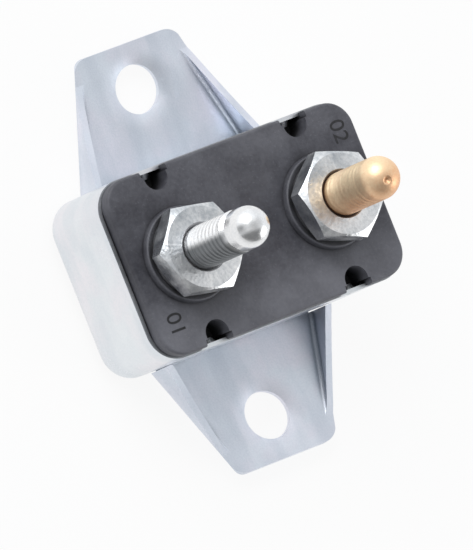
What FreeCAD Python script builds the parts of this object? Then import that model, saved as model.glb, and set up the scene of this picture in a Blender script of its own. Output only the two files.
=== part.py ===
import FreeCAD, Part
import math
import os

# Panel mount circuit breaker with two terminal studs, millimetres.
# +Z is the direction of the studs, +X runs from the auxiliary stud to the battery stud,
# and the two ears of the bracket point along +Y and -Y.
# The origin is the centre of the bracket's flat underside, where it meets the panel.

# Mounting bracket, one pressed sheet
sheet = 0.8
bend_inner_r = 0.4
ear_tip_y = 24.25
ear_root_half = 11.48
ear_taper_deg = 18.5
ear_rise_deg = 6.0
ear_corner_r = 2.2
ear_root_gap = 0.1
flange_root_height = 4.6
flange_mid_height = 2.5
flange_fade_y = 21.6
strap_half = 10.25
hole_spacing = 38.1
hole_d = 5.5
hole_dish_d = 9.4
hole_dish_depth = 0.3
weld_mark_d = 2.6
weld_mark_depth = 0.15
weld_pitch_x = 11.0
weld_pitch_y = 10.0

# Can, one drawn sheet
can_wall = 0.45
can_height = 11.2
can_bottom_r = 1.4
can_gap = 0.1
rim_show_side = 0.15
stake_d = 1.7
stake_tip_d = 1.0
stake_depth = 0.6
stake_below_rim = 1.15

# Terminal base, moulded
base_length = 33.3
base_width = 20.1
base_corner_r = 3.0
base_proud = 1.4
base_edge_r = 0.35
base_skirt = 2.25
base_roof = 4.1
cavity_corner_r = 1.5
base_foot_chamfer = 0.5
notch_r = 1.5
notch_inset = 1.0
notch_depth = 3.6
notch_mouth = 3.5
notch_mouth_inset = 0.7
seat_r = 5.25
seat_foot_r = 5.4
seat_height = 0.8
seat_edge_r = 0.2
rib_width = 1.0
rib_height = 0.6
rib_gap = 0.1

# Studs, nuts and washers
stud_d = 4.826
shank_d = 4.35
shank_hole_gap = 0.1
thread_start = 0.1
head_d = 7.2
head_height = 1.0
head_chamfer = 0.2
neck_square = 4.7
neck_gap = 0.1
washer_d = 9.3
washer_thick = 0.5
washer_ring = 1.3
washer_teeth = 12
washer_slot = 0.55
washer_gap = 0.15
nut_across_flats = 9.4
nut_height = 2.63
nut_chamfer_deg = 30.0
nut_face_d = 9.0
nut_countersink = 0.55
nut_bore_gap = 0.03
auxiliary_nut_deg = 50.5
battery_nut_deg = 41.7
auxiliary_nose_rise = 9.5
auxiliary_nose_d = 4.7
groove_d = 4.0
groove_length = 0.7
groove_below_nose = 1.1
battery_nose_rise = 7.35
dimple_d = 1.0
dimple_depth = 0.4
dimple_tilt_deg = 18.5
dimple_turn_deg = 235.5

# Current path inside
insulation_thick = 0.4
insulation_gap = 0.05
plate_thick = 0.7
plate_width = 7.6
plate_overhang = 0.5
plate_wall_gap = 0.3
head_gap = 0.275
contact_d = 4.0
contact_thick = 0.8
contact_crown = 0.12
contact_flat_d = 1.2
contact_shank_d = 1.8
contact_head_gap = 0.9
rivet_tail_d = 2.6
rivet_tail_height = 0.3
foot_gap = 0.2
foot_length = 3.4
support_bend_r = 0.6
blade_thick = 0.45
blade_width = 7.0
blade_neck_width = 5.2
blade_corner_r = 1.5
blade_tip_margin = 0.4
blade_tail_gap = 0.05

# Levels and places that follow from the sizes above
cut_margin = 1.0
can_half_x = base_length / 2 + can_gap + can_wall
can_half_y = base_width / 2 + rim_show_side
can_inner_x = can_half_x - can_wall
can_inner_y = can_half_y - can_wall
can_corner_r = base_corner_r + can_gap + can_wall
can_floor_z = sheet + can_wall
rim_z = sheet + can_height
base_top_z = rim_z + base_proud
base_foot_z = can_floor_z + insulation_thick
roof_z = base_top_z - base_roof
plate_z = roof_z - plate_thick
head_z = plate_z - head_height
foot_z = head_z - foot_gap - plate_thick
blade_z = foot_z - blade_thick
contact_face_z = foot_z + contact_thick
washer_z = base_top_z + seat_height
nut_z = washer_z + washer_thick
nut_top_z = nut_z + nut_height
stud_r = stud_d / 2
shank_r = shank_d / 2
cavity_half_x = base_length / 2 - base_skirt
cavity_half_y = base_width / 2 - base_skirt
leg_x = -cavity_half_x + plate_wall_gap
stud_x = -leg_x - plate_thick - head_gap - head_d / 2
contact_x = stud_x - head_d / 2 - contact_head_gap - contact_d / 2
blade_tail_x = leg_x + plate_thick + blade_tail_gap
ear_root_y = can_half_y + ear_root_gap
rise_sin = math.sin(math.radians(ear_rise_deg))
rise_cos = math.cos(math.radians(ear_rise_deg))
hole_mid = (sheet - hole_dish_depth) / 2
hole_along = (hole_spacing / 2 - ear_root_y + hole_mid * rise_sin) / rise_cos
hole_mid_z = hole_along * rise_sin + hole_mid * rise_cos


def block(x0, x1, y0, y1, z0, z1):
    """Plain box between two corners."""
    return Part.makeBox(x1 - x0, y1 - y0, z1 - z0, FreeCAD.Vector(x0, y0, z0))


def disc(x, y, z0, z1, radius):
    """Upright cylinder."""
    return Part.makeCylinder(radius, z1 - z0, FreeCAD.Vector(x, y, z0))


def rounded_block(half_x, half_y, z0, z1, radius):
    """Block centred on the Z axis with rounded upright edges."""
    solid = block(-half_x, half_x, -half_y, half_y, z0, z1)
    upright = [e for e in solid.Edges if e.BoundBox.ZLength > (z1 - z0) / 2]
    return solid.makeFillet(radius, upright)


def edges_at(solid, z):
    """Edges that lie flat at one height."""
    flat = []
    for edge in solid.Edges:
        box = edge.BoundBox
        if abs(box.ZMin - z) < 1e-4 and abs(box.ZMax - z) < 1e-4:
            flat.append(edge)
    return flat


def prism(points, direction):
    """Solid swept from a closed polygon."""
    corners = [FreeCAD.Vector(*p) for p in points]
    wire = Part.makePolygon(corners + corners[:1])
    return Part.Face(wire).extrude(FreeCAD.Vector(*direction))


def turned(profile, x):
    """Solid of revolution about an upright axis at x, from (radius, z) points."""
    corners = [FreeCAD.Vector(x + r, 0, z) for r, z in profile]
    wire = Part.makePolygon(corners + corners[:1])
    return Part.Face(wire).revolve(FreeCAD.Vector(x, 0, 0), FreeCAD.Vector(0, 0, 1), 360)


def ear_half(y):
    """Half width of an ear at distance y from the middle."""
    return ear_root_half - (y - ear_root_y) * math.tan(math.radians(ear_taper_deg))


def ear_trapezoid(y0, y1, inset, z0, z1):
    """Tapered block of an ear's outline, its slanted sides set in by a thickness."""
    shift = inset / math.cos(math.radians(ear_taper_deg))
    near = ear_half(y0) - shift
    far = ear_half(y1) - shift
    points = [(-near, y0, z0), (near, y0, z0), (far, y1, z0), (-far, y1, z0)]
    return prism(points, (0, 0, z1 - z0))


def slanted_bottom_edges(solid, z):
    """The two bottom edges that run along an ear's flanges."""
    return [e for e in edges_at(solid, z) if min(e.BoundBox.YLength, e.BoundBox.XLength) > bend_inner_r]


def flange_profile():
    """Side view of an ear: the flange falls in a flat curve from the can to the plain tip."""
    start_y = ear_root_y - cut_margin
    root = FreeCAD.Vector(0, start_y, flange_root_height)
    middle = FreeCAD.Vector(0, (start_y + flange_fade_y) / 2, flange_mid_height)
    fade = FreeCAD.Vector(0, flange_fade_y, sheet)
    tip = FreeCAD.Vector(0, ear_tip_y, sheet)
    tip_foot = FreeCAD.Vector(0, ear_tip_y, 0)
    root_foot = FreeCAD.Vector(0, start_y, 0)
    edges = [
        Part.Arc(root, middle, fade).toShape(),
        Part.LineSegment(fade, tip).toShape(),
        Part.LineSegment(tip, tip_foot).toShape(),
        Part.LineSegment(tip_foot, root_foot).toShape(),
        Part.LineSegment(root_foot, root).toShape(),
    ]
    half = ear_half(start_y)
    side = Part.Face(Part.Wire(edges)).extrude(FreeCAD.Vector(2 * half, 0, 0))
    side.translate(FreeCAD.Vector(-half, 0, 0))
    return side


def channel():
    """Ear before it is raised: a floor with two bent up flanges and round tip corners."""
    start_y = ear_root_y - cut_margin
    top = flange_root_height + sheet
    outside = ear_trapezoid(start_y, ear_tip_y, 0, 0, top)
    outside = outside.makeFillet(bend_inner_r + sheet, slanted_bottom_edges(outside, 0))
    inside = ear_trapezoid(start_y - sheet, ear_tip_y + sheet, sheet, sheet, top + sheet)
    inside = inside.makeFillet(bend_inner_r, slanted_bottom_edges(inside, sheet))
    plan = ear_trapezoid(start_y, ear_tip_y, 0, 0, top)
    corners = []
    for edge in plan.Edges:
        if edge.BoundBox.ZLength > sheet and edge.BoundBox.YMax > ear_tip_y - 0.01:
            corners.append(edge)
    plan = plan.makeFillet(ear_corner_r, corners)
    return outside.cut(inside).common(flange_profile()).common(plan)


def screw_hole():
    """What is taken out for a screw: a round hole and the smooth shallow dish around it."""
    y = ear_root_y + hole_along
    rim_r = hole_dish_d / 2
    reach = rim_r - hole_d / 2
    ball_r = (reach * reach + hole_dish_depth * hole_dish_depth) / (2 * hole_dish_depth)
    edge = FreeCAD.Vector(hole_d / 2, y, sheet - hole_dish_depth)
    sag = ball_r - math.sqrt(ball_r * ball_r - reach * reach / 4)
    middle = FreeCAD.Vector(rim_r - reach / 2, y, sheet - sag)
    rim = FreeCAD.Vector(rim_r, y, sheet)
    axis_top = FreeCAD.Vector(0, y, sheet)
    axis_low = FreeCAD.Vector(0, y, sheet - hole_dish_depth)
    edges = [
        Part.Arc(edge, middle, rim).toShape(),
        Part.LineSegment(rim, axis_top).toShape(),
        Part.LineSegment(axis_top, axis_low).toShape(),
        Part.LineSegment(axis_low, edge).toShape(),
    ]
    dish = Part.Face(Part.Wire(edges)).revolve(axis_top, FreeCAD.Vector(0, 0, 1), 360)
    return disc(0, y, -sheet, 2 * sheet, hole_d / 2).fuse(dish)


def ear():
    """Ear on the +Y side, raised a little from the can to the tip."""
    solid = channel().cut(screw_hole())
    solid.rotate(FreeCAD.Vector(0, ear_root_y, 0), FreeCAD.Vector(1, 0, 0), ear_rise_deg)
    reach = ear_tip_y + cut_margin
    room = block(-ear_root_half, ear_root_half, ear_root_y, reach, 0, reach)
    return solid.common(room)


def mounting_bracket():
    """Strap that passes under the can, with an ear at each end and four weld marks below."""
    rear = ear()
    front = rear.rotated(FreeCAD.Vector(0, 0, 0), FreeCAD.Vector(0, 0, 1), 180)
    strap = block(-strap_half, strap_half, -ear_root_y, ear_root_y, 0, sheet)
    solid = strap.fuse([rear, front]).removeSplitter()
    for sx in (-1, 1):
        for sy in (-1, 1):
            mark = disc(sx * weld_pitch_x / 2, sy * weld_pitch_y / 2, 0, weld_mark_depth, weld_mark_d / 2)
            solid = solid.cut(mark)
    return solid


def stake(x, face_y, start_r, tip_r):
    """Cone pressed inwards from one level of the +Y wall."""
    foot = FreeCAD.Vector(x, face_y, rim_z - stake_below_rim)
    return Part.makeCone(start_r, tip_r, stake_depth, foot, FreeCAD.Vector(0, -1, 0))


def housing_can():
    """Open box drawn from sheet, with four dimples pressed into the notches of the base."""
    outside = rounded_block(can_half_x, can_half_y, sheet, rim_z, can_corner_r)
    outside = outside.makeFillet(can_bottom_r, edges_at(outside, sheet))
    inner_r = can_corner_r - can_wall
    inside = rounded_block(can_inner_x, can_inner_y, can_floor_z, rim_z + can_wall, inner_r)
    inside = inside.makeFillet(can_bottom_r - can_wall, edges_at(inside, can_floor_z))
    solid = outside.cut(inside)
    for x in (-stud_x, stud_x):
        for turn in (0, 180):
            bump = stake(x, can_inner_y, stake_d / 2, stake_tip_d / 2)
            pocket = stake(x, can_half_y, stake_tip_d / 2, stake_tip_d / 4)
            bump.rotate(FreeCAD.Vector(x, 0, 0), FreeCAD.Vector(0, 0, 1), turn)
            pocket.rotate(FreeCAD.Vector(x, 0, 0), FreeCAD.Vector(0, 0, 1), turn)
            solid = solid.fuse(bump).cut(pocket)
    return solid.removeSplitter()


def insulating_sheet():
    """Flat fibre sheet on the can's floor, clamped under the skirt of the base."""
    inset = can_bottom_r + insulation_gap
    radius = can_corner_r - can_bottom_r
    return rounded_block(can_half_x - inset, can_half_y - inset, can_floor_z, base_foot_z, radius)


def notch(x):
    """Round-ended notch in the +Y edge of the base, a little wider at its mouth."""
    edge_y = base_width / 2
    centre_y = edge_y - notch_inset
    floor_z = base_top_z - notch_depth
    top_z = base_top_z + cut_margin
    round_end = disc(x, centre_y, floor_z, top_z, notch_r)
    neck = block(x - notch_r, x + notch_r, centre_y, edge_y + cut_margin, floor_z, top_z)
    half = notch_mouth / 2
    mouth_y = edge_y - notch_mouth_inset
    mouth = block(x - half, x + half, mouth_y, edge_y + cut_margin, floor_z, top_z)
    return round_end.fuse([neck, mouth])


def locating_ribs(x0, x1):
    """Two low ribs under the roof that keep a plate from turning."""
    inner = plate_width / 2 + rib_gap
    outer = inner + rib_width
    rear = block(x0, x1, inner, outer, roof_z - rib_height, roof_z)
    front = block(x0, x1, -outer, -inner, roof_z - rib_height, roof_z)
    return [rear, front]


def terminal_base():
    """Moulded plug with a lip on the rim, a hollow underside, stud holes, seats and notches."""
    plug_x = can_inner_x - can_gap
    plug_y = can_inner_y - can_gap
    plug = rounded_block(plug_x, plug_y, base_foot_z, rim_z, can_corner_r - can_wall - can_gap)
    plug = plug.makeChamfer(base_foot_chamfer, edges_at(plug, base_foot_z))
    lip = rounded_block(base_length / 2, base_width / 2, rim_z, base_top_z, base_corner_r)
    lip = lip.makeFillet(base_edge_r, edges_at(lip, base_top_z))
    solid = lip.fuse(plug)
    foot = base_foot_z - cut_margin
    cavity = rounded_block(cavity_half_x, cavity_half_y, foot, roof_z, cavity_corner_r)
    solid = solid.cut(cavity)
    ribs = []
    for x in (-stud_x, stud_x):
        seat_foot = FreeCAD.Vector(x, 0, base_top_z)
        seat = Part.makeCone(seat_foot_r, seat_r, seat_height, seat_foot)
        seat = seat.makeFillet(seat_edge_r, edges_at(seat, base_top_z + seat_height))
        solid = solid.fuse(seat)
        ribs += locating_ribs(x - head_d / 2, x + head_d / 2)
    solid = solid.fuse(ribs)
    for x in (-stud_x, stud_x):
        bore = disc(x, 0, roof_z - rib_height, washer_z + cut_margin, shank_r + shank_hole_gap)
        solid = solid.cut(bore)
        rear = notch(x)
        front = rear.rotated(FreeCAD.Vector(x, 0, 0), FreeCAD.Vector(0, 0, 1), 180)
        solid = solid.cut(rear).cut(front)
    return solid.removeSplitter()


def stud_foot(x):
    """Round head under the plate and the square neck that sits in the plate's hole."""
    head = disc(x, 0, head_z, plate_z, head_d / 2)
    head = head.makeChamfer(head_chamfer, edges_at(head, head_z))
    half = neck_square / 2
    neck = block(x - half, x + half, -half, half, plate_z, roof_z)
    return head.fuse(neck)


def auxiliary_stud():
    """Silver stud: a thinner shank through the nut, the thread, a narrow neck and a ball nose."""
    nose_z = nut_top_z + auxiliary_nose_rise
    nose_r = auxiliary_nose_d / 2
    neck_r = groove_d / 2
    neck_top_z = nose_z - groove_below_nose
    neck_z = neck_top_z - groove_length
    slope = stud_r - neck_r
    profile = [
        (0, roof_z),
        (shank_r, roof_z),
        (shank_r, nut_top_z + thread_start),
        (stud_r, nut_top_z + thread_start),
        (stud_r, neck_z - slope),
        (neck_r, neck_z),
        (neck_r, neck_top_z - slope),
        (nose_r, neck_top_z),
        (nose_r, nose_z),
        (0, nose_z),
    ]
    shank = turned(profile, -stud_x)
    ball = Part.makeSphere(nose_r, FreeCAD.Vector(-stud_x, 0, nose_z))
    return stud_foot(-stud_x).fuse([shank, ball]).removeSplitter()


def battery_stud():
    """Copper coloured stud: a plain round nose with a small dimple a little off its tip."""
    nose_z = nut_top_z + battery_nose_rise
    thread_z = nut_top_z + thread_start
    shank = disc(stud_x, 0, roof_z, thread_z, shank_r)
    thread = disc(stud_x, 0, thread_z, nose_z, stud_r)
    middle = FreeCAD.Vector(stud_x, 0, nose_z)
    nose = Part.makeSphere(stud_r, middle)
    solid = stud_foot(stud_x).fuse([shank, thread, nose]).removeSplitter()
    tilt = math.radians(dimple_tilt_deg)
    turn = math.radians(dimple_turn_deg)
    out_x = math.sin(tilt) * math.cos(turn)
    out_y = math.sin(tilt) * math.sin(turn)
    outward = FreeCAD.Vector(out_x, out_y, math.cos(tilt))
    bottom = middle + outward * (stud_r - dimple_depth)
    dimple = Part.makeCone(0, dimple_d, 2 * dimple_depth, bottom, outward)
    return solid.cut(dimple)


def hexagon_nut(x, turn_deg):
    """Hexagon nut with both ends chamfered and a countersunk bore."""
    corner_r = nut_across_flats / 2 / math.cos(math.radians(30))
    drop = (corner_r - nut_face_d / 2) * math.tan(math.radians(nut_chamfer_deg))
    points = []
    for k in range(6):
        angle = math.radians(turn_deg + 60 * k)
        points.append((x + corner_r * math.cos(angle), corner_r * math.sin(angle), nut_z))
    hexagon = prism(points, (0, 0, nut_height))
    bore_r = shank_r + nut_bore_gap
    mouth_r = bore_r + nut_countersink
    envelope = [
        (bore_r, nut_z + nut_countersink),
        (mouth_r, nut_z),
        (nut_face_d / 2, nut_z),
        (corner_r, nut_z + drop),
        (corner_r, nut_top_z - drop),
        (nut_face_d / 2, nut_top_z),
        (mouth_r, nut_top_z),
        (bore_r, nut_top_z - nut_countersink),
    ]
    return hexagon.common(turned(envelope, x))


def lock_washer(x):
    """Thin washer with teeth on the inside, a little smaller than the nut."""
    solid = disc(x, 0, washer_z, nut_z, washer_d / 2)
    solid = solid.cut(disc(x, 0, washer_z, nut_z, shank_r + washer_gap))
    reach = washer_d / 2 - washer_ring
    for k in range(washer_teeth):
        slot = block(x, x + reach, -washer_slot / 2, washer_slot / 2, washer_z, nut_z)
        slot.rotate(FreeCAD.Vector(x, 0, 0), FreeCAD.Vector(0, 0, 1), 360 / washer_teeth * k)
        solid = solid.cut(slot)
    return solid


def neck_hole(x):
    """Square hole in a plate for a stud's neck."""
    half = neck_square / 2 + neck_gap
    return block(x - half, x + half, -half, half, plate_z - cut_margin, roof_z + cut_margin)


def contact_plate():
    """Flat strip clamped under the roof by the battery stud."""
    far = cavity_half_x - plate_wall_gap
    near = contact_x - contact_d / 2 - plate_overhang
    half = plate_width / 2
    strip = block(near, far, -half, half, plate_z, roof_z)
    return strip.cut(neck_hole(stud_x)).cut(disc(contact_x, 0, plate_z, roof_z, contact_shank_d / 2))


def fixed_contact():
    """Flat contact button with its shank riveted flush in the contact plate."""
    button = disc(contact_x, 0, contact_face_z, plate_z, contact_d / 2)
    shank = disc(contact_x, 0, plate_z, roof_z, contact_shank_d / 2)
    return button.fuse(shank).removeSplitter()


def blade_support():
    """Strip clamped by the auxiliary stud, bent down and turned in to a foot for the blade."""
    half = plate_width / 2
    top = block(leg_x, -stud_x + head_d / 2 + plate_overhang, -half, half, plate_z, roof_z)
    leg = block(leg_x, leg_x + plate_thick, -half, half, foot_z, roof_z)
    foot = block(leg_x, leg_x + plate_thick + foot_length, -half, half, foot_z, foot_z + plate_thick)
    solid = top.fuse([leg, foot]).removeSplitter()
    outer = []
    for edge in solid.Edges:
        box = edge.BoundBox
        if box.YLength > half and abs(box.XMax - leg_x) < 1e-4:
            outer.append(edge)
    return solid.makeFillet(support_bend_r, outer).cut(neck_hole(-stud_x))


def bimetal_blade():
    """Strip under the foot that narrows toward the moving contact."""
    tip_x = contact_x + contact_d / 2 + blade_tip_margin
    half = blade_width / 2
    neck = blade_neck_width / 2
    shoulder = contact_x - contact_d
    points = [
        (blade_tail_x, -half, blade_z),
        (shoulder - contact_d, -half, blade_z),
        (shoulder, -neck, blade_z),
        (tip_x, -neck, blade_z),
        (tip_x, neck, blade_z),
        (shoulder, neck, blade_z),
        (shoulder - contact_d, half, blade_z),
        (blade_tail_x, half, blade_z),
    ]
    strip = prism(points, (0, 0, blade_thick))
    corners = []
    for edge in strip.Edges:
        if edge.BoundBox.ZLength > blade_thick / 2 and edge.BoundBox.XMin > tip_x - 0.01:
            corners.append(edge)
    strip = strip.makeFillet(blade_corner_r, corners)
    return strip.cut(disc(contact_x, 0, blade_z, foot_z, contact_shank_d / 2))


def moving_contact():
    """Crowned contact button riveted through the blade."""
    edge_z = contact_face_z - contact_crown
    button = disc(contact_x, 0, foot_z, edge_z, contact_d / 2)
    profile = [
        (0, edge_z),
        (contact_d / 2, edge_z),
        (contact_flat_d / 2, contact_face_z),
        (0, contact_face_z),
    ]
    crown = turned(profile, contact_x)
    shank = disc(contact_x, 0, blade_z, foot_z, contact_shank_d / 2)
    tail = disc(contact_x, 0, blade_z - rivet_tail_height, blade_z, rivet_tail_d / 2)
    return button.fuse([crown, shank, tail]).removeSplitter()


nodes = {
    "mounting_bracket": mounting_bracket(),
    "housing_can": housing_can(),
    "insulating_sheet": insulating_sheet(),
    "terminal_base": terminal_base(),
    "auxiliary_stud": auxiliary_stud(),
    "battery_stud": battery_stud(),
    "auxiliary_nut": hexagon_nut(-stud_x, auxiliary_nut_deg),
    "battery_nut": hexagon_nut(stud_x, battery_nut_deg),
    "auxiliary_lock_washer": lock_washer(-stud_x),
    "battery_lock_washer": lock_washer(stud_x),
    "contact_plate": contact_plate(),
    "fixed_contact": fixed_contact(),
    "blade_support": blade_support(),
    "bimetal_blade": bimetal_blade(),
    "moving_contact": moving_contact(),
}

os.makedirs("parts", exist_ok=True)
for name, shape in nodes.items():
    shape.exportStep("parts/" + name + ".step")
    print(name, shape.isValid(), len(shape.Solids), round(shape.Volume, 2))
print("cover top", round(base_top_z, 3), "nut top", round(nut_top_z, 3))
print("screw hole middle", round(hole_mid_z, 4), "contact", round(contact_x, 3))
print("blade tail", round(blade_tail_x, 3), "blade underside", round(blade_z, 3))
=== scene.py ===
import math

import bmesh
import bpy
from mathutils import Matrix, Vector


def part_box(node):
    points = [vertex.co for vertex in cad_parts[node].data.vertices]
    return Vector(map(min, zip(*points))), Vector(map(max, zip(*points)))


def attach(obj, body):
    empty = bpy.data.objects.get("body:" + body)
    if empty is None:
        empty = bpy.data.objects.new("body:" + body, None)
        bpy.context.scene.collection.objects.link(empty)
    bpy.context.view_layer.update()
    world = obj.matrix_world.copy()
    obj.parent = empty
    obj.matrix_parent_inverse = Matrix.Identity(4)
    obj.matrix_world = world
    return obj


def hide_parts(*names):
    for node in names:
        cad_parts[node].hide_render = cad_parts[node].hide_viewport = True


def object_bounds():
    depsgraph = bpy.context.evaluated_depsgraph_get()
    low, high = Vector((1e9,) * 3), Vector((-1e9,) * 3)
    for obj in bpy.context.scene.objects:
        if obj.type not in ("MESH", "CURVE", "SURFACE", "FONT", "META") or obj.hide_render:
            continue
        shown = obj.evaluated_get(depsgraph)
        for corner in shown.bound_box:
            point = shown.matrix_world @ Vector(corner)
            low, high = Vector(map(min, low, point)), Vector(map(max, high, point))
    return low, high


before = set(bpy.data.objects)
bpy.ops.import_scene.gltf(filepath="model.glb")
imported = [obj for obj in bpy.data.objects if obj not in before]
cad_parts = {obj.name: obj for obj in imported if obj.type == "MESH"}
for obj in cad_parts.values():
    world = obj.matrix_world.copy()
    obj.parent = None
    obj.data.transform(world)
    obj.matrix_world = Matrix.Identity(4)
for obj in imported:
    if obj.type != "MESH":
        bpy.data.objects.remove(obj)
cad_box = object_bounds()


# Mounting bracket: one strap of thin sheet steel, pressed with an ear at each end that has bent up
# sides, then zinc plated. The plating is a satin blue grey with faint streaks along the strap.
class Shade:
    """A value on its way through the nodes of one material."""

    def __init__(self, tree, socket=None):
        self.tree = tree
        self.socket = socket

    def make(self, kind, settings=None, sockets=None, out=0):
        """Add a node, set it up, feed its sockets and give back one of its outputs."""
        node = self.tree.nodes.new(kind)
        for key, value in (settings or {}).items():
            setattr(node, key, value)
        for key, value in (sockets or {}).items():
            if isinstance(value, Shade):
                self.tree.links.new(value.socket, node.inputs[key])
            else:
                node.inputs[key].default_value = value
        if not node.outputs:
            return self
        return Shade(self.tree, node.outputs[out])

    def maths(self, operation, first, second):
        return self.make("ShaderNodeMath", {"operation": operation}, {0: first, 1: second})

    def __add__(self, other):
        return self.maths("ADD", self, other)

    __radd__ = __add__

    def __mul__(self, other):
        return self.maths("MULTIPLY", self, other)

    __rmul__ = __mul__

    def __sub__(self, other):
        return self.maths("SUBTRACT", self, other)

    def __rsub__(self, other):
        return self.maths("SUBTRACT", other, self)

    def vector(self, operation, other=(0, 0, 0), out="Vector"):
        """Vector Math on this place, with another one where the operation takes two."""
        return self.make("ShaderNodeVectorMath", {"operation": operation}, {0: self, 1: other}, out)

    def part(self, axis):
        """One of the three numbers of a place."""
        return self.make("ShaderNodeSeparateXYZ", None, {0: self}, axis)

    def span(self, start, end, low=0.0, high=1.0):
        """Ramp between two values, flat outside them."""
        sockets = {"Value": self, "From Min": start, "From Max": end, "To Min": low, "To Max": high}
        return self.make("ShaderNodeMapRange", {"clamp": True, "interpolation_type": "SMOOTHSTEP"}, sockets)

    def tint(self, low, high):
        """Colour that goes from low to high while this value goes from 0 to 1."""
        ends = [end if isinstance(end, Shade) else (*end, 1) for end in (low, high)]
        return self.make("ShaderNodeMix", {"data_type": "RGBA"}, {0: self, 6: ends[0], 7: ends[1]}, 2)

    def place(self, stretch=(1, 1, 1)):
        """Metres on the object, squeezed along some axes to draw streaks."""
        return self.make("ShaderNodeTexCoord", out="Object").vector("MULTIPLY", stretch)

    def cloud(self, place, scale, detail=3.0, low=0.35, high=0.65):
        """Soft noise, its usual range spread over 0 to 1."""
        sockets = {"Vector": place, "Scale": scale, "Detail": detail}
        return self.make("ShaderNodeTexNoise", None, sockets).span(low, high)

    def open_face(self, reach, shut=0.35, clear=0.85, alone=False):
        """1 on open surface, falling to 0 in folds and hollows; alone leaves out the other pieces."""
        settings = {"samples": 8, "only_local": alone}
        seen = self.make("ShaderNodeAmbientOcclusion", settings, {"Distance": reach}, "AO")
        return seen.span(shut, clear)

    def relief(self, height, depth):
        """Bump of a real depth in metres."""
        sockets = {"Strength": 1.0, "Distance": depth, "Height": height}
        return self.make("ShaderNodeBump", None, sockets, "Normal")

    def close(self, fixed, varying):
        """Shader of the surface and the material's output."""
        surface = self.make("ShaderNodeBsdfPrincipled", None, {**fixed, **varying})
        self.make("ShaderNodeOutputMaterial", None, {"Surface": surface})


def new_finish(name):
    """Bare material, and the start of its nodes."""
    material = bpy.data.materials.new(name)
    material.use_nodes = True
    material.node_tree.nodes.clear()
    return material, Shade(material.node_tree)


def zinc(name, deep, pale, painted_crease_shade, streaks, roughness, grain_depth, folds):
    """Zinc plating: streaks of the rolled sheet, crystal grain, faint colours, and painted shade in the
    creases, which are also rougher.
    """
    material, shade = new_finish(name)
    streak = shade.cloud(shade.place(streaks), 420, 4.0)
    patch = shade.cloud(shade.place(), 160, 2.0)
    film = shade.cloud(shade.place(), 210, 3.0)
    grain = shade.cloud(shade.place(), 5200, 2.0, 0.3, 0.7)
    spots = shade.cloud(shade.place(), 1500, 1.0, 0.62, 0.72)
    tone = 0.45 * streak + 0.35 * patch + 0.2 * grain
    rosy = [min(pale[0] * 1.05, 1.0), pale[1] * 0.985, pale[2] * 0.995]
    plating = tone.tint(deep, film.tint(pale, rosy))
    # Painted shade: folds and hollows are darkened toward the shade colour.
    unshaded = shade.open_face(*folds)
    shade.close({"Metallic": 1.0}, {
        "Base Color": unshaded.tint(painted_crease_shade, plating),
        "Roughness": roughness + 0.08 * patch + 0.1 * spots - 0.05 * grain + 0.25 * (1 - unshaded),
        "Normal": shade.relief(0.6 * grain + 0.4 * streak, grain_depth),
    })
    return material


def dress(node, material):
    """Give a CAD piece its finish."""
    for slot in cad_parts[node].material_slots:
        slot.material = material


bracket_deep = (0.62, 0.67, 0.75)
bracket_pale = (0.78, 0.83, 0.90)
# Painted shade colour for the bracket's folds.
bracket_fold_shade = (0.22, 0.26, 0.31)
sheet_streaks = (1.0, 0.12, 1.0)
bracket_roughness = 0.42
bracket_grain = 6e-6
fold_reach = 0.0013
bracket_zinc = zinc("bracket_zinc", bracket_deep, bracket_pale, bracket_fold_shade, sheet_streaks,
                    bracket_roughness, bracket_grain, (fold_reach, 0.58, 0.94, True))
dress("mounting_bracket", bracket_zinc)


# Housing can: a small tray drawn from thin steel and zinc plated like the bracket, but paler and
# smoother from the drawing. Its rim is pushed in at four places to hold the base.
can_deep = (0.72, 0.76, 0.80)
can_pale = (0.85, 0.88, 0.90)
# Painted shade colour for the can's creases.
can_fold_shade = (0.20, 0.21, 0.22)
draw_streaks = (0.2, 0.2, 1.0)
can_roughness = 0.32
can_grain = 4e-6
crease_reach = 0.0015
can_zinc = zinc("can_zinc", can_deep, can_pale, can_fold_shade, draw_streaks,
                can_roughness, can_grain, [crease_reach])
dress("housing_can", can_zinc)


# Insulating sheet: grey pressed fibre on the floor of the can, cut with a die and laid in loose.
# It keeps the live strips away from the steel.
def pressed_fibre():
    """Matte fibre board with short hairs."""
    material, shade = new_finish("pressed_fibre")
    hairs = shade.cloud(shade.place((1.0, 0.25, 1.0)), 2600, 4.0)
    patch = shade.cloud(shade.place(), 300, 3.0)
    tone = 0.6 * hairs + 0.4 * patch
    shade.close({"Specular IOR Level": 0.25}, {
        "Base Color": tone.tint((0.20, 0.21, 0.21), (0.33, 0.34, 0.34)),
        "Roughness": 0.8 + 0.1 * patch,
        "Normal": shade.relief(hairs, 2e-5),
    })
    return material


dress("insulating_sheet", pressed_fibre())


# Current path: two brass strips under the base, clamped by the studs' heads, with silver contacts
# riveted on, and the bimetal blade welded under the foot of the strip below the silver stud.
def rolled_metal(name, deep, pale, roughness):
    """Rolled strip with fine streaks along its length."""
    material, shade = new_finish(name)
    streak = shade.cloud(shade.place((0.06, 1.0, 1.0)), 1400, 4.0)
    patch = shade.cloud(shade.place(), 260, 3.0)
    tone = 0.6 * streak + 0.4 * patch
    shade.close({"Metallic": 1.0}, {
        "Base Color": tone.tint(deep, pale),
        "Roughness": roughness + 0.1 * patch,
        "Normal": shade.relief(streak, 3e-6),
    })
    return material


strip_brass = rolled_metal("strip_brass", (0.58, 0.42, 0.18), (0.78, 0.62, 0.34), 0.30)
contact_silver = rolled_metal("contact_silver", (0.72, 0.72, 0.70), (0.90, 0.89, 0.87), 0.28)
blade_bimetal = rolled_metal("blade_bimetal", (0.36, 0.35, 0.33), (0.56, 0.54, 0.50), 0.32)
dress("contact_plate", strip_brass)
dress("blade_support", strip_brass)
dress("fixed_contact", contact_silver)
dress("moving_contact", contact_silver)
dress("bimetal_blade", blade_bimetal)
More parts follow.
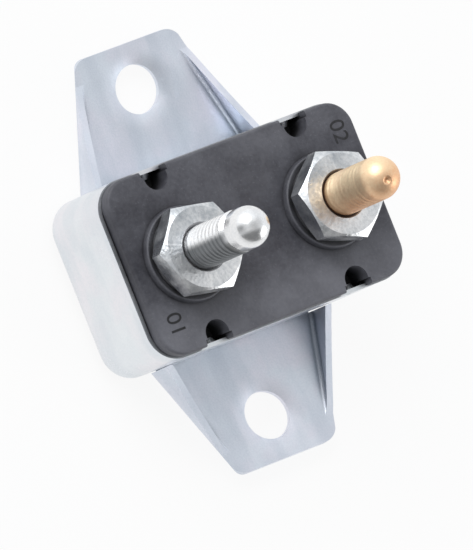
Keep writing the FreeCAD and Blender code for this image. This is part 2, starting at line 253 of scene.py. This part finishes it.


# Terminal base: dark grey phenolic moulding that closes the can, with a round seat for each nut.
# It is matte, with a little flow mottling, fine pale specks and painted light that makes it paler along its
# long edges, most on the -Y side.
stud_x = 0.009525
seat_rim = 0.0054
rim_width = 0.0005
hollow_shade_reach = 0.0022
# Painted light: the base is paler in strips along its long edges, more on the -Y side.
front_sheen = (-0.0025, -0.0085)
rear_sheen = (0.0055, 0.009)


def phenolic():
    """Dark moulding, mottled by its flow, with painted shade in the hollows, a painted highlight round each
    seat's rim and painted light along the long edges.
    """
    material, shade = new_finish("phenolic")
    place = shade.place()
    flow = shade.cloud(place, 75, 2.0)
    patch = shade.cloud(place, 330, 4.0)
    fine = shade.cloud(place, 2300, 3.0)
    specks = shade.cloud(place, 4200, 1.0, 0.66, 0.74)
    # Painted highlight: a paler ring on the rim of each nut's seat.
    painted_highlight = 0.0
    for seat_x in (-stud_x, stud_x):
        flat = place.vector("SUBTRACT", (seat_x, 0, 0)).vector("MULTIPLY", (1, 1, 0))
        far = flat.vector("LENGTH", out="Value")
        inside = far.span(seat_rim - rim_width, seat_rim - 0.5 * rim_width)
        outside = far.span(seat_rim - 0.1 * rim_width, seat_rim, 1.0, 0.0)
        painted_highlight = painted_highlight + inside * outside
    across_base = place.part("Y")
    painted_edge_light = 0.6 * across_base.span(*front_sheen) + 0.25 * across_base.span(*rear_sheen)
    tone = 0.2 * flow + 0.22 * patch + 0.12 * fine + 0.2 * specks + 0.3 * painted_highlight + painted_edge_light - 0.06
    body = tone.tint((0.032, 0.032, 0.042), (0.150, 0.153, 0.176))
    shade.close({"Specular IOR Level": 0.5}, {
        # Painted shade: near black in the hollows round the nuts and studs.
        "Base Color": shade.open_face(hollow_shade_reach).tint((0.008, 0.008, 0.009), body),
        "Roughness": 0.46 + 0.12 * fine + 0.08 * patch,
        "Normal": shade.relief(0.5 * fine + 0.5 * patch, 1.2e-5),
    })
    return material


dress("terminal_base", phenolic())


# Terminal marks: a plain 01 beside the silver stud and a plain 02 beside the copper one. They are
# stamped on the moulding with a black ink, a few hundredths of a millimetre thick.
mark_height = 0.0019
size_per_height = 1.4
mark_rise = 0.00002
seat_height = 0.0008
base_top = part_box("terminal_base")[1][2] - seat_height


def stamped_ink():
    """Black ink, thin in places."""
    material, shade = new_finish("stamped_ink")
    wear = shade.cloud(shade.place(), 1800, 3.0)
    shade.close({}, {
        "Base Color": wear.tint((0.006, 0.006, 0.007), (0.020, 0.020, 0.024)),
        "Roughness": 0.6 + 0.15 * wear,
        "Normal": shade.relief(wear, 1e-5),
    })
    return material


black_ink = stamped_ink()


def stamped_figure(figure, x, y):
    """One number on top of the base, read from the -X side."""
    outline = bpy.data.curves.new("terminal_mark_" + figure, "FONT")
    outline.body = figure
    outline.size = mark_height * size_per_height
    outline.align_x = "CENTER"
    outline.align_y = "CENTER"
    outline.extrude = mark_rise
    outline.materials.append(black_ink)
    piece = bpy.data.objects.new("terminal_mark_" + figure, outline)
    bpy.context.scene.collection.objects.link(piece)
    piece.location = (x, y, base_top)
    piece.rotation_euler = (0, 0, math.radians(-90))
    bpy.context.view_layer.update()
    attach(piece, "breaker")


stamped_figure("01", -0.0141, -0.0066)
stamped_figure("02", 0.0144, 0.0066)


# Silver stud: steel with a rolled thread, a round head under the plate, a square neck that keeps it
# from turning, and a ball nose on a narrow neck. Bright zinc, with painted shade over the thread on one
# side.
pitch = 0.000794
rows_per_turn = 16
turn_steps = 96
thread_depth = 0.0002
run_out = 0.8 * pitch
stud_r = 0.002413
shank_r = 0.002175
head_r = 0.0036
head_edge = 0.0002
tip_r = 2e-5
nose_steps = 48
square_half = 0.00235
sharp_edge = math.radians(35)


def thread_cut(z, angle, low, high, depth):
    """How deep the thread's groove is at one height and angle."""
    phase = (z / pitch - angle / (2 * math.pi)) % 1.0
    groove = 0.5 - 0.5 * math.cos(2 * math.pi * phase)
    run = min((z - low) / run_out, (high - z) / run_out, 1.0)
    return depth * groove * max(run, 0.0)


def stud_mesh(name, x, profile, low, high, depth):
    """Turned body with a rolled thread between two heights, and its square neck."""
    rows = []
    for (r0, z0), (r1, z1) in zip(profile, profile[1:]):
        in_thread = r0 == r1 == stud_r
        steps = max(1, round((z1 - z0) / (pitch / rows_per_turn))) if in_thread else 1
        for k in range(steps):
            rows.append((r0 + (r1 - r0) * k / steps, z0 + (z1 - z0) * k / steps))
    rows.append(profile[-1])
    body = bmesh.new()
    rings = []
    for radius, z in rows:
        ring = []
        for k in range(turn_steps):
            angle = 2 * math.pi * k / turn_steps
            cut = thread_cut(z, angle, low, high, depth) if radius == stud_r else 0.0
            r = radius - cut
            ring.append(body.verts.new((x + r * math.cos(angle), r * math.sin(angle), z)))
        rings.append(ring)
    for lower, upper in zip(rings, rings[1:]):
        for k in range(turn_steps):
            j = (k + 1) % turn_steps
            body.faces.new((lower[k], lower[j], upper[j], upper[k]))
    body.faces.new(reversed(rings[0]))
    body.faces.new(rings[-1])
    square_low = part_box("contact_plate")[0][2]
    square_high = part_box("contact_plate")[1][2]
    square = bmesh.ops.create_cube(body, size=1.0)["verts"]
    for vert in square:
        side_x, side_y, side_z = vert.co * 2
        z = square_high if side_z > 0 else square_low
        vert.co = Vector((x + side_x * square_half, side_y * square_half, z))
    mesh = bpy.data.meshes.new(name)
    body.to_mesh(mesh)
    body.free()
    for face in mesh.polygons:
        face.use_smooth = True
    mesh.set_sharp_from_angle(angle=sharp_edge)
    return mesh


def nose_rows(centre_z, radius):
    """Profile points of a round nose, from its widest ring up to the tip."""
    rows = []
    for k in range(nose_steps + 1):
        angle = math.radians(90 * k / nose_steps)
        rows.append((max(radius * math.cos(angle), tip_r), centre_z + radius * math.sin(angle)))
    return rows


def stud_piece(name, node, mesh, material):
    """Put a finished stud in the place of its CAD node."""
    mesh.materials.append(material)
    piece = bpy.data.objects.new(name, mesh)
    bpy.context.scene.collection.objects.link(piece)
    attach(piece, "breaker")
    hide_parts(node)


head_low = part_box("auxiliary_stud")[0][2]
head_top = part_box("contact_plate")[0][2]
nut_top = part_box("auxiliary_nut")[1][2]
bore_sink = 0.0003
thread_low = nut_top - bore_sink
foot_rows = [
    (tip_r, head_low),
    (head_r - head_edge, head_low),
    (head_r, head_low + head_edge),
    (head_r, head_top),
    (shank_r, head_top),
    (shank_r, thread_low),
]

ball_r = 0.00235
ball_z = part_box("auxiliary_stud")[1][2] - ball_r
ball_drop = 0.0011
neck_r = 0.0020
neck_length = 0.0007
neck_flare = 0.0003
neck_top = ball_z - ball_drop
neck_low = neck_top - neck_length
silver_thread_end = neck_low - (stud_r - neck_r)
silver_rows = foot_rows + [
    (stud_r, thread_low),
    (stud_r, silver_thread_end),
    (neck_r, neck_low),
    (neck_r, neck_top - neck_flare),
    (ball_r, neck_top),
] + nose_rows(ball_z, ball_r)
silver_mesh = stud_mesh("silver_stud", -stud_x, silver_rows, thread_low, silver_thread_end, thread_depth)
# Painted shade: the thread on the -Y side is darkened, and made rougher as well.
shade_fade = 0.0004
# Across the stud, one stud radius toward this side counts as 1.
shaded_side = (-104, -401, 0)


def stud_zinc():
    """Bright zinc, smooth on the nose, with painted shade in the thread's hollows and over the thread on
    the -Y side, which is also rougher.
    """
    material, shade = new_finish("stud_zinc")
    streak = shade.cloud(shade.place((1.0, 1.0, 0.3)), 420, 4.0)
    grain = shade.cloud(shade.place(), 5200, 2.0, 0.3, 0.7)
    from_axis = shade.place().vector("SUBTRACT", (-stud_x, 0, 0))
    turned = from_axis.vector("DOT_PRODUCT", shaded_side, "Value").span(-0.1, 0.25)
    below_nose = from_axis.part("Z").span(silver_thread_end, silver_thread_end + shade_fade, 1.0, 0.0)
    shade_and_dull = turned * below_nose
    plating = (0.6 * streak + 0.4 * grain).tint((0.76, 0.77, 0.79), (0.92, 0.92, 0.92))
    shaded_plating = shade_and_dull.tint(plating, (0.24, 0.25, 0.26))
    shade.close({"Metallic": 1.0}, {
        "Base Color": shade.open_face(0.0004, 0.35, 0.9).tint((0.40, 0.40, 0.41), shaded_plating),
        "Roughness": 0.2 + 0.06 * streak + 0.14 * shade_and_dull,
        "Normal": shade.relief(grain, 2e-6),
    })
    return material


stud_piece("silver_stud", "auxiliary_stud", silver_mesh, stud_zinc())


# Copper stud: the same steel stud with a round nose, a punched dimple near its tip and a thread
# that the plating has nearly filled. The copper is thin, painted rosy as shade on one side and paler gold
# as a highlight on the other.
# Across the stud, one stud radius toward this side counts as 1.
copper_lit_side = (-190, 370, 0)


def copper_flash():
    """Thin copper plating, with painted shade in the hollows and a painted highlight of paler gold on the
    +Y side.
    """
    material, shade = new_finish("copper_flash")
    patch = shade.cloud(shade.place(), 380, 3.0)
    grain = shade.cloud(shade.place(), 4200, 2.0, 0.3, 0.7)
    from_axis = shade.place().vector("SUBTRACT", (stud_x, 0, 0))
    # Painted highlight: the +Y side is paler gold, the other side darker.
    painted_highlight = from_axis.vector("DOT_PRODUCT", copper_lit_side, "Value").span(-0.6, 1.0)
    tone = 0.25 * patch + 0.15 * grain + 0.6 * painted_highlight
    plating = tone.tint((0.80, 0.44, 0.24), (1.0, 0.82, 0.56))
    shade.close({"Metallic": 0.85}, {
        "Base Color": shade.open_face(0.0004).tint((0.20, 0.10, 0.06), plating),
        "Roughness": 0.44 + 0.08 * patch - 0.05 * grain,
        "Normal": shade.relief(grain, 4e-6),
    })
    return material


nose_rise = 0.00735
# A hair thinner than the thread, so that no thread is cut into the nose.
nose_r = stud_r - 1e-7
copper_thread_depth = 0.00003
copper_nose_z = nut_top + nose_rise
copper_rows = foot_rows + [
    (stud_r, thread_low),
    (stud_r, copper_nose_z),
] + nose_rows(copper_nose_z, nose_r)[1:]
copper_mesh = stud_mesh("copper_stud", stud_x, copper_rows, thread_low, copper_nose_z, copper_thread_depth)

dimple_r = 0.0005
dimple_depth = 0.0004
dimple_tilt = math.radians(18.5)
dimple_turn = math.radians(235.5)
outward = Vector((0, 0, 1))
outward.rotate(Matrix.Rotation(dimple_tilt, 3, "Y"))
outward.rotate(Matrix.Rotation(dimple_turn, 3, "Z"))
nose_middle = Vector((stud_x, 0, copper_nose_z))
for vert in copper_mesh.vertices:
    along = (vert.co - nose_middle).dot(outward)
    aside = (vert.co - nose_middle - along * outward).length
    if along > 0 and aside < dimple_r:
        vert.co -= outward * dimple_depth * (1 - aside / dimple_r)
stud_piece("copper_stud", "battery_stud", copper_mesh, copper_flash())


# Lock washers: thin toothed rings of spring steel under the nuts, mostly in shadow, their zinc painted dark
# as that shade.
# They bite into the nut and the seat, and keep the nut from working loose.
# Painted shade: the washers' zinc colours are dark for the shade under the nuts, and darker still in
# creases.
washer_shaded_deep = (0.24, 0.25, 0.27)
washer_shaded_pale = (0.38, 0.39, 0.41)
washer_fold_shade = (0.03, 0.03, 0.03)
no_streaks = (1.0, 1.0, 1.0)
washer_roughness = 0.45
washer_grain = 5e-6
washer_zinc = zinc("washer_zinc", washer_shaded_deep, washer_shaded_pale, washer_fold_shade, no_streaks,
                   washer_roughness, washer_grain, [crease_reach])
dress("auxiliary_lock_washer", washer_zinc)
dress("battery_lock_washer", washer_zinc)


# Hexagon nuts: cold formed steel, one tight on each stud. The tops are a little domed and show rough
# radial marks from the die. The zinc is painted brighter on one side and darker on the other, as light and
# shade.
nut_half = 0.0048
dome_drop = 4
ray_r = 0.004
ray_squeeze = 0.15
# Across the nut, half its width toward this side counts as 1.
lit_side = (92, -188, 0)


def nut_zinc(name, x):
    """Bright plating, torn radially around one stud's axis and pitted all over, painted lighter on its lit
    side and with painted shade in its hollows.
    """
    material, shade = new_finish(name)
    place = shade.place()
    from_axis = place.vector("SUBTRACT", (x, 0, 0))
    flat = from_axis.vector("MULTIPLY", (1, 1, 0))
    far = flat.vector("LENGTH", out="Value")
    angle = shade.maths("ARCTAN2", from_axis.part("Y"), from_axis.part("X"))
    ray_place = shade.make("ShaderNodeCombineXYZ", None, {0: angle * ray_r, 1: far * ray_squeeze})
    rays = shade.cloud(ray_place, 2000, 3.0)
    grain = shade.cloud(place, 2600, 3.0, 0.3, 0.7)
    patch = shade.cloud(place, 520, 2.0)
    # Painted light: one side of the nut is lighter, the other darker.
    painted_side_light = flat.vector("DOT_PRODUCT", lit_side, "Value").span(-0.7, 0.5)
    tone = 0.15 * rays + 0.25 * grain + 0.2 * patch + 0.4 * painted_side_light
    plating = tone.tint((0.42, 0.45, 0.48), (1.0, 1.0, 1.0))
    domed = shade.maths("POWER", far * (1 / nut_half), 4.0)
    shade.close({"Metallic": 1.0}, {
        "Base Color": shade.open_face(0.0006).tint((0.45, 0.45, 0.46), plating),
        "Roughness": 0.34 + 0.14 * patch - 0.08 * grain,
        "Normal": shade.relief(0.2 * rays + 0.6 * grain - dome_drop * domed, 2.2e-5),
    })
    return material


dress("auxiliary_nut", nut_zinc("nut_zinc_1", -stud_x))
dress("battery_nut", nut_zinc("nut_zinc_2", stud_x))


# Room: a white floor under the bracket, soft light from above and behind, a weaker lamp low on the
# +X side, and the camera high on the -X side with a long lens.
def floor_paint():
    """White paint that looks plain white to the camera, and white in mirroring metal except for painted
    shade on its -Y side.
    """
    material, shade = new_finish("floor_white")
    camera_ray = shade.make("ShaderNodeLightPath", out="Is Camera Ray")
    mirror_ray = shade.make("ShaderNodeLightPath", out="Is Glossy Ray")
    passed_ray = shade.make("ShaderNodeLightPath", out="Is Transmission Ray")
    # Painted shade: the floor's glow in mirroring metal is dimmer on the -Y side.
    shaded_far_side = shade.place().part("Y").span(-0.10, -0.02, 0.45, 1.0)
    direct = camera_ray + passed_ray + mirror_ray * shaded_far_side
    paint = shade.make("ShaderNodeBsdfDiffuse", None, {"Color": (0.8, 0.8, 0.8, 1)})
    glow = shade.make("ShaderNodeEmission", None, {"Color": (1, 1, 1, 1), "Strength": 1.0})
    surface = shade.make("ShaderNodeMixShader", None, {0: direct * 0.9, 1: paint, 2: glow})
    shade.make("ShaderNodeOutputMaterial", None, {"Surface": surface})
    return material


floor_half = 3.0
floor_mesh = bpy.data.meshes.new("floor")
floor_body = bmesh.new()
bmesh.ops.create_grid(floor_body, x_segments=1, y_segments=1, size=floor_half)
floor_body.to_mesh(floor_mesh)
floor_body.free()
floor = bpy.data.objects.new("floor", floor_mesh)
bpy.context.scene.collection.objects.link(floor)
floor.location = (0, 0, cad_box[0][2])
floor_mesh.materials.append(floor_paint())


def room_light(world):
    """Plain walls with a window on the +Y side, dim on the -Y side; plain white to the camera."""
    shade = Shade(world.node_tree)
    sight = shade.make("ShaderNodeTexCoord", out="Generated")
    ahead = sight.part("X")
    side = sight.part("Y")
    height = sight.part("Z")
    wall_low = 0.2
    window = side.span(0.25, 0.6, 0.0, 0.4)
    wall = wall_low + side.span(-0.6, -0.25, 0.0, 0.52) + window
    low_front = ahead.span(-0.75, -0.35, 0.35, 0.0) * height.span(0.35, 0.8, 1.0, 0.0)
    low_front = low_front * side.span(0.2, 0.5, 1.0, 0.0) * side.span(-0.35, -0.05)
    overhead = height.span(0.9, 0.98, 0.0, 0.2) * side.span(0.0, 0.3, 1.0, 0.0)
    far_table = height.span(0.45, 0.85, 1.0, 0.0) * ahead.span(0.35, 0.65) * side.span(-0.8, -0.5)
    level = wall - low_front - overhead + far_table * (1.0 - wall)
    camera_ray = shade.make("ShaderNodeLightPath", out="Is Camera Ray")
    strength = level + camera_ray * (0.98 - level)
    cool_white = (0.97, 0.985, 1, 1)
    room = shade.make("ShaderNodeBackground", None, {"Color": cool_white, "Strength": strength})
    shade.make("ShaderNodeOutputWorld", None, {"Surface": room})


world = bpy.data.worlds.new("room")
bpy.context.scene.world = world
world.use_nodes = True
world.node_tree.nodes.clear()
room_light(world)


def soft_box(name, direction, distance, size, power):
    """Square lamp that faces the object from one direction."""
    lamp = bpy.data.lights.new(name, "AREA")
    lamp.size = size
    lamp.energy = power
    piece = bpy.data.objects.new(name, lamp)
    bpy.context.scene.collection.objects.link(piece)
    towards = Vector(direction).normalized()
    piece.location = towards * distance
    piece.rotation_euler = towards.to_track_quat("Z", "Y").to_euler()


soft_box("key_light", (-0.32, 0.70, 0.65), 0.5, 0.34, 1.2)
soft_box("low_light", (0.70, -0.62, 0.36), 0.5, 0.30, 0.55)

picture_height = 0.05927
camera_distance = 1.5
sensor = 36.0
aim_height = 0.0134
aim_left = 0.002145
aim_down = 0.005087
# The camera's directions come from fitting the object's corners to the photograph.
back = Vector((-0.53601, -0.02121, 0.84395)).normalized()
across = Vector((0.30244, 0.92851, 0.21541)).cross(back).normalized()
up = back.cross(across)
aim = Vector((0, 0, aim_height)) - aim_left * across - aim_down * up
camera_data = bpy.data.cameras.new("camera")
camera_data.sensor_width = sensor
camera_data.lens = sensor * camera_distance / picture_height
camera_data.clip_end = 20.0
camera = bpy.data.objects.new("camera", camera_data)
bpy.context.scene.collection.objects.link(camera)
turn = Matrix((across, up, back)).transposed().to_4x4()
camera.matrix_world = Matrix.Translation(aim + back * camera_distance) @ turn
bpy.context.scene.camera = camera
bpy.context.scene.view_settings.view_transform = "Standard"
